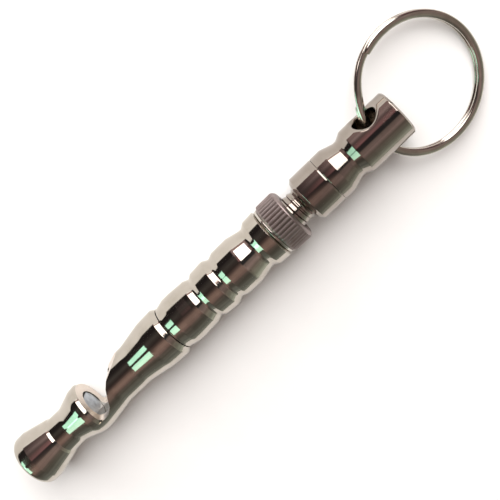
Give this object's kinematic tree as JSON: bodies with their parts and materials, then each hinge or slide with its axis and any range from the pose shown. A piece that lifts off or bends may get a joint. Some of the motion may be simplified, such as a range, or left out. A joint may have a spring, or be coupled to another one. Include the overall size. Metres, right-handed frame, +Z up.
{
  "type": "training whistle",
  "caption": "Pocket high-pitch training whistle: turned metal mouthpiece with an air window, beaded barrel, knurled lock nut, screw-adjusted plunger, drilled tail and split ring",
  "frame": {"origin": "centre of the mouth end on the whistle's axis", "axes": "+X along the whistle from the mouth end to the split ring, +Y the side the air window faces, +Z up as the whistle lies on a table"},
  "size_m": [0.0952, 0.0214, 0.009],
  "materials": {
    "body_plating": "bright nickel plating on turned brass",
    "plug_metal": "satin, machined",
    "washer_plating": "bright nickel plating",
    "knurl_plating": "plated straight knurl, a little dulled by handling",
    "screw_plating": "bright nickel plating on turned brass",
    "plunger_brass": "plain turned brass",
    "seal_rubber": "black nitrile rubber",
    "ring_wire": "plated spring steel wire"
  },
  "bodies": {
    "whistle_body": {"mouthpiece": "body_plating", "windway_plug": "plug_metal", "barrel": "body_plating"},
    "washer": {"lock_washer": "washer_plating"},
    "nut": {"lock_nut": "knurl_plating"},
    "seal": {"plunger_seal": "seal_rubber"},
    "tuning_screw": {"adjusting_screw": "screw_plating", "plunger_tip": "plunger_brass", "tail_knob": "screw_plating"},
    "ring": {"split_ring": "ring_wire"}
  },
  "joints": [
    {"name": "nut_travel", "type": "slide", "parent": "whistle_body", "child": "washer", "axis": [1, 0, 0], "range_m": [0, 0.0006]},
    {"name": "nut_turn", "type": "hinge", "parent": "washer", "child": "nut", "pos_m": [0.0562, 0, 0], "axis": [1, 0, 0], "range_deg": [0, 270]},
    {"name": "tuning_travel", "type": "slide", "parent": "whistle_body", "child": "seal", "axis": [1, 0, 0], "range_m": [-0.0008, 0.004]},
    {"name": "tuning_turn", "type": "hinge", "parent": "seal", "child": "tuning_screw", "pos_m": [0.0625, 0, 0], "axis": [1, 0, 0], "range_deg": [-360, 1800]},
    {"name": "ring_swing", "type": "hinge", "parent": "tuning_screw", "child": "ring", "pos_m": [0.0751, 0, 0], "axis": [0, 0.9976, 0.0698], "range_deg": [-172, 150]}
  ],
  "couplings": [
    {"joint": "nut_travel", "follows": "nut_turn", "m_per_rad": 0.00012732},
    {"joint": "tuning_travel", "follows": "tuning_turn", "m_per_rad": 0.00012732}
  ]
}
